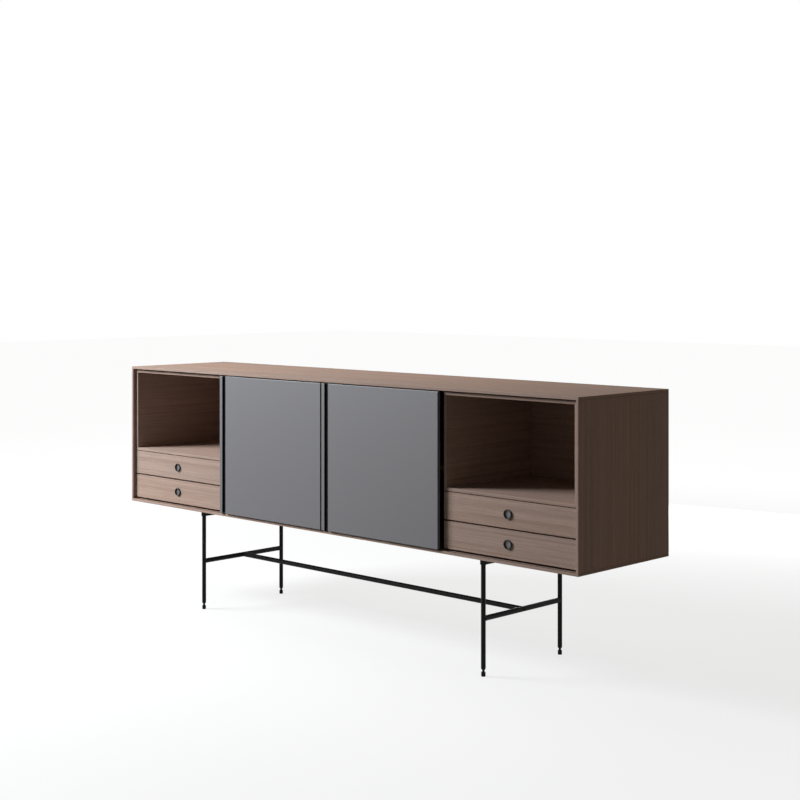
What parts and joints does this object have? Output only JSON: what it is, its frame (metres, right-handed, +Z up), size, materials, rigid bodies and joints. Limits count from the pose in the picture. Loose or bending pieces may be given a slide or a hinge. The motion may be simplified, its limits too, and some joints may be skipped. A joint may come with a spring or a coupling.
{
  "type": "storage cabinet",
  "caption": "Long low storage cabinet with open end niches over drawers, sliding doors between them and a steel-rod leg frame base on levelling feet.",
  "frame": {"origin": "on the floor, below the middle of the cabinet's length and depth (doors included)", "axes": "+X along the length towards the viewer's right, +Y from the doors to the back, +Z up"},
  "size_m": [2.015, 0.458, 0.846],
  "materials": {
    "walnut": "open-grain greyed walnut veneer, matt",
    "drawer_wood": "plywood, matt clear lacquer",
    "door_lacquer": "smooth matt grey lacquer on board",
    "black_steel": "satin black powder coat",
    "black_aluminium": "satin black anodised",
    "burnished_metal": "burnished, dark",
    "bright_steel": "zinc plated",
    "nylon": "matt, moulded"
  },
  "bodies": {
    "cabinet": {"top_panel": "walnut", "bottom_panel": "walnut", "left_side_panel": "walnut", "right_side_panel": "walnut", "back_panel": "walnut", "door_top_track": "black_aluminium", "door_bottom_track": "black_aluminium", "centre_divider": "walnut", "left_shelf": "walnut", "right_shelf": "walnut", "left_unit_top": "walnut", "left_unit_inner_wall": "walnut", "left_unit_outer_wall": "walnut", "left_niche_floor": "walnut", "right_unit_top": "walnut", "right_unit_inner_wall": "walnut", "right_unit_outer_wall": "walnut", "right_niche_floor": "walnut", "left_leg_frame": "black_steel", "right_leg_frame": "black_steel", "long_stretcher": "black_steel", "left_stretcher_bolt": "black_steel", "right_stretcher_bolt": "black_steel", "front_left_frame_screw": "bright_steel", "back_left_frame_screw": "bright_steel", "front_right_frame_screw": "bright_steel", "back_right_frame_screw": "bright_steel"},
    "left_door": {"left_door_panel": "door_lacquer", "left_door_grip": "black_aluminium", "left_door_lower_glide_1": "nylon", "left_door_lower_glide_2": "nylon", "left_door_upper_glide_1": "nylon", "left_door_upper_glide_2": "nylon"},
    "right_door": {"right_door_panel": "door_lacquer", "right_door_grip": "black_aluminium", "right_door_lower_glide_1": "nylon", "right_door_lower_glide_2": "nylon", "right_door_upper_glide_1": "nylon", "right_door_upper_glide_2": "nylon"},
    "left_lower_drawer": {"left_lower_drawer_front": "walnut", "left_lower_ring_pull": "burnished_metal", "left_lower_drawer_box": "drawer_wood", "left_lower_drawer_base": "drawer_wood"},
    "left_upper_drawer": {"left_upper_drawer_front": "walnut", "left_upper_ring_pull": "burnished_metal", "left_upper_drawer_box": "drawer_wood", "left_upper_drawer_base": "drawer_wood"},
    "right_lower_drawer": {"right_lower_drawer_front": "walnut", "right_lower_ring_pull": "burnished_metal", "right_lower_drawer_box": "drawer_wood", "right_lower_drawer_base": "drawer_wood"},
    "right_upper_drawer": {"right_upper_drawer_front": "walnut", "right_upper_ring_pull": "burnished_metal", "right_upper_drawer_box": "drawer_wood", "right_upper_drawer_base": "drawer_wood"},
    "front_left_foot": {"front_left_levelling_foot": "black_steel"},
    "back_left_foot": {"back_left_levelling_foot": "black_steel"},
    "front_right_foot": {"front_right_levelling_foot": "black_steel"},
    "back_right_foot": {"back_right_levelling_foot": "black_steel"}
  },
  "joints": [
    {"name": "left_door_slide", "type": "slide", "parent": "cabinet", "child": "left_door", "axis": [1, 0, 0], "range_m": [-0.49, 0]},
    {"name": "right_door_slide", "type": "slide", "parent": "cabinet", "child": "right_door", "axis": [-1, 0, 0], "range_m": [-0.49, 0]},
    {"name": "left_lower_drawer_slide", "type": "slide", "parent": "cabinet", "child": "left_lower_drawer", "axis": [0, -1, 0], "range_m": [0, 0.3]},
    {"name": "left_upper_drawer_slide", "type": "slide", "parent": "cabinet", "child": "left_upper_drawer", "axis": [0, -1, 0], "range_m": [0, 0.3]},
    {"name": "right_lower_drawer_slide", "type": "slide", "parent": "cabinet", "child": "right_lower_drawer", "axis": [0, -1, 0], "range_m": [0, 0.3]},
    {"name": "right_upper_drawer_slide", "type": "slide", "parent": "cabinet", "child": "right_upper_drawer", "axis": [0, -1, 0], "range_m": [0, 0.3]},
    {"name": "front_left_foot_turn", "type": "hinge", "parent": "cabinet", "child": "front_left_foot", "pos_m": [-0.6382, -0.1826, 0], "axis": [0, 0, 1], "range_deg": [-720, 1080]},
    {"name": "back_left_foot_turn", "type": "hinge", "parent": "cabinet", "child": "back_left_foot", "pos_m": [-0.6382, 0.1906, 0], "axis": [0, 0, 1], "range_deg": [-720, 1080]},
    {"name": "front_right_foot_turn", "type": "hinge", "parent": "cabinet", "child": "front_right_foot", "pos_m": [0.6382, -0.1826, 0], "axis": [0, 0, 1], "range_deg": [-720, 1080]},
    {"name": "back_right_foot_turn", "type": "hinge", "parent": "cabinet", "child": "back_right_foot", "pos_m": [0.6382, 0.1906, 0], "axis": [0, 0, 1], "range_deg": [-720, 1080]}
  ]
}
